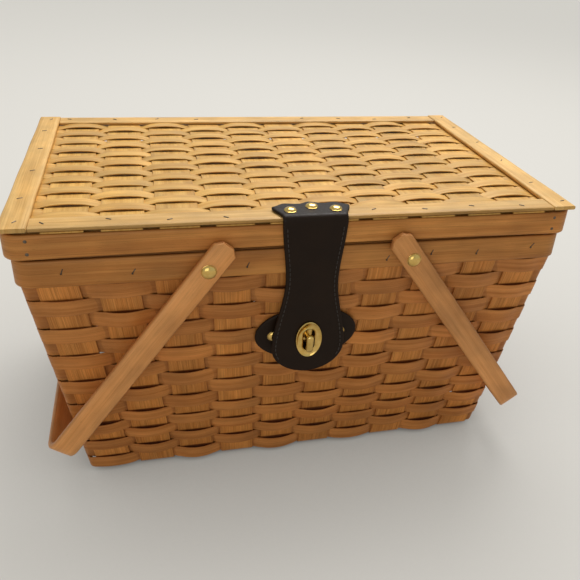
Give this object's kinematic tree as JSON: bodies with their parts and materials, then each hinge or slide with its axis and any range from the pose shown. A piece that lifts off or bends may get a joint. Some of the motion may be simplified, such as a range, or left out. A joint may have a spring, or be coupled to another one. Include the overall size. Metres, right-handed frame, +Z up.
{
  "type": "picnic basket",
  "caption": "Rectangular woven splint picnic basket with tapered walls, a flat hinged woven lid, two swing handles and a leather turn-lock clasp.",
  "frame": {"origin": "on the floor under the middle of the basket", "axes": "+X to the right along the basket's length, +Y to the back where the lid's hinges are, +Z up"},
  "size_m": [0.45, 0.3018, 0.2597],
  "materials": {
    "upright_wood": "satin",
    "weaver_wood": "satin",
    "band_wood": "satin",
    "lid_wood": "satin",
    "handle_wood": "satin",
    "dark_leather": "satin",
    "brass": "polished"
  },
  "bodies": {
    "basket": {"front_upright_1": "upright_wood", "front_upright_2": "upright_wood", "front_upright_3": "upright_wood", "front_upright_4": "upright_wood", "front_upright_5": "upright_wood", "front_upright_6": "upright_wood", "front_upright_7": "upright_wood", "front_upright_8": "upright_wood", "front_upright_9": "upright_wood", "front_upright_10": "upright_wood", "side_upright_1": "upright_wood", "side_upright_2": "upright_wood", "side_upright_3": "upright_wood", "side_upright_4": "upright_wood", "side_upright_5": "upright_wood", "weaver_row_1": "weaver_wood", "weaver_row_2": "weaver_wood", "weaver_row_3": "weaver_wood", "weaver_row_4": "weaver_wood", "weaver_row_5": "weaver_wood", "weaver_row_6": "weaver_wood", "weaver_row_7": "weaver_wood", "weaver_row_8": "weaver_wood", "weaver_row_9": "weaver_wood", "weaver_row_10": "weaver_wood", "weaver_row_11": "weaver_wood", "weaver_row_12": "weaver_wood", "weaver_row_13": "weaver_wood", "weaver_row_14": "weaver_wood", "weaver_row_15": "weaver_wood", "weaver_row_16": "weaver_wood", "rim_band_outer": "band_wood", "rim_band_inner": "band_wood", "handle_rivet_front_left": "brass", "handle_rivet_front_right": "brass", "handle_rivet_back_left": "brass", "handle_rivet_back_right": "brass", "hinge_lower_leaf_left": "brass", "hinge_lower_leaf_right": "brass", "clasp_backing_plate": "dark_leather", "turn_lock_base": "brass"},
    "lid": {"lid_band": "band_wood", "lid_strip_left": "band_wood", "lid_strip_right": "band_wood", "lid_strip_front": "band_wood", "lid_strip_back": "band_wood", "lid_weave_panel": "lid_wood", "hinge_upper_leaf_left": "brass", "hinge_upper_leaf_right": "brass", "clasp_strap_tab": "dark_leather", "strap_rivet_1": "brass", "strap_rivet_2": "brass", "strap_rivet_3": "brass"},
    "strap": {"clasp_strap": "dark_leather", "clasp_eyelet": "brass"},
    "turn_knob": {"turn_knob": "brass"},
    "handle_left": {"handle_left": "handle_wood"},
    "handle_right": {"handle_right": "handle_wood"}
  },
  "joints": [
    {"name": "lid_hinge", "type": "hinge", "parent": "basket", "child": "lid", "pos_m": [0, 0.146, 0.236], "axis": [-1, 0, 0], "range_deg": [0, 105]},
    {"name": "strap_bend", "type": "hinge", "parent": "lid", "child": "strap", "pos_m": [0, -0.14185, 0.25295], "axis": [-1, 0, 0], "range_deg": [0, 100]},
    {"name": "knob_turn", "type": "hinge", "parent": "basket", "child": "turn_knob", "pos_m": [0, -0.13081, 0.145], "axis": [0, -0.9944, -0.1057], "range_deg": [0, 90]},
    {"name": "handle_left_swing", "type": "hinge", "parent": "basket", "child": "handle_left", "pos_m": [-0.08197, 0, 0.217], "axis": [0, -1, 0], "range_deg": [-162.6, 0]},
    {"name": "handle_right_swing", "type": "hinge", "parent": "basket", "child": "handle_right", "pos_m": [0.08197, 0, 0.217], "axis": [0, 1, 0], "range_deg": [-162.6, 0]}
  ]
}
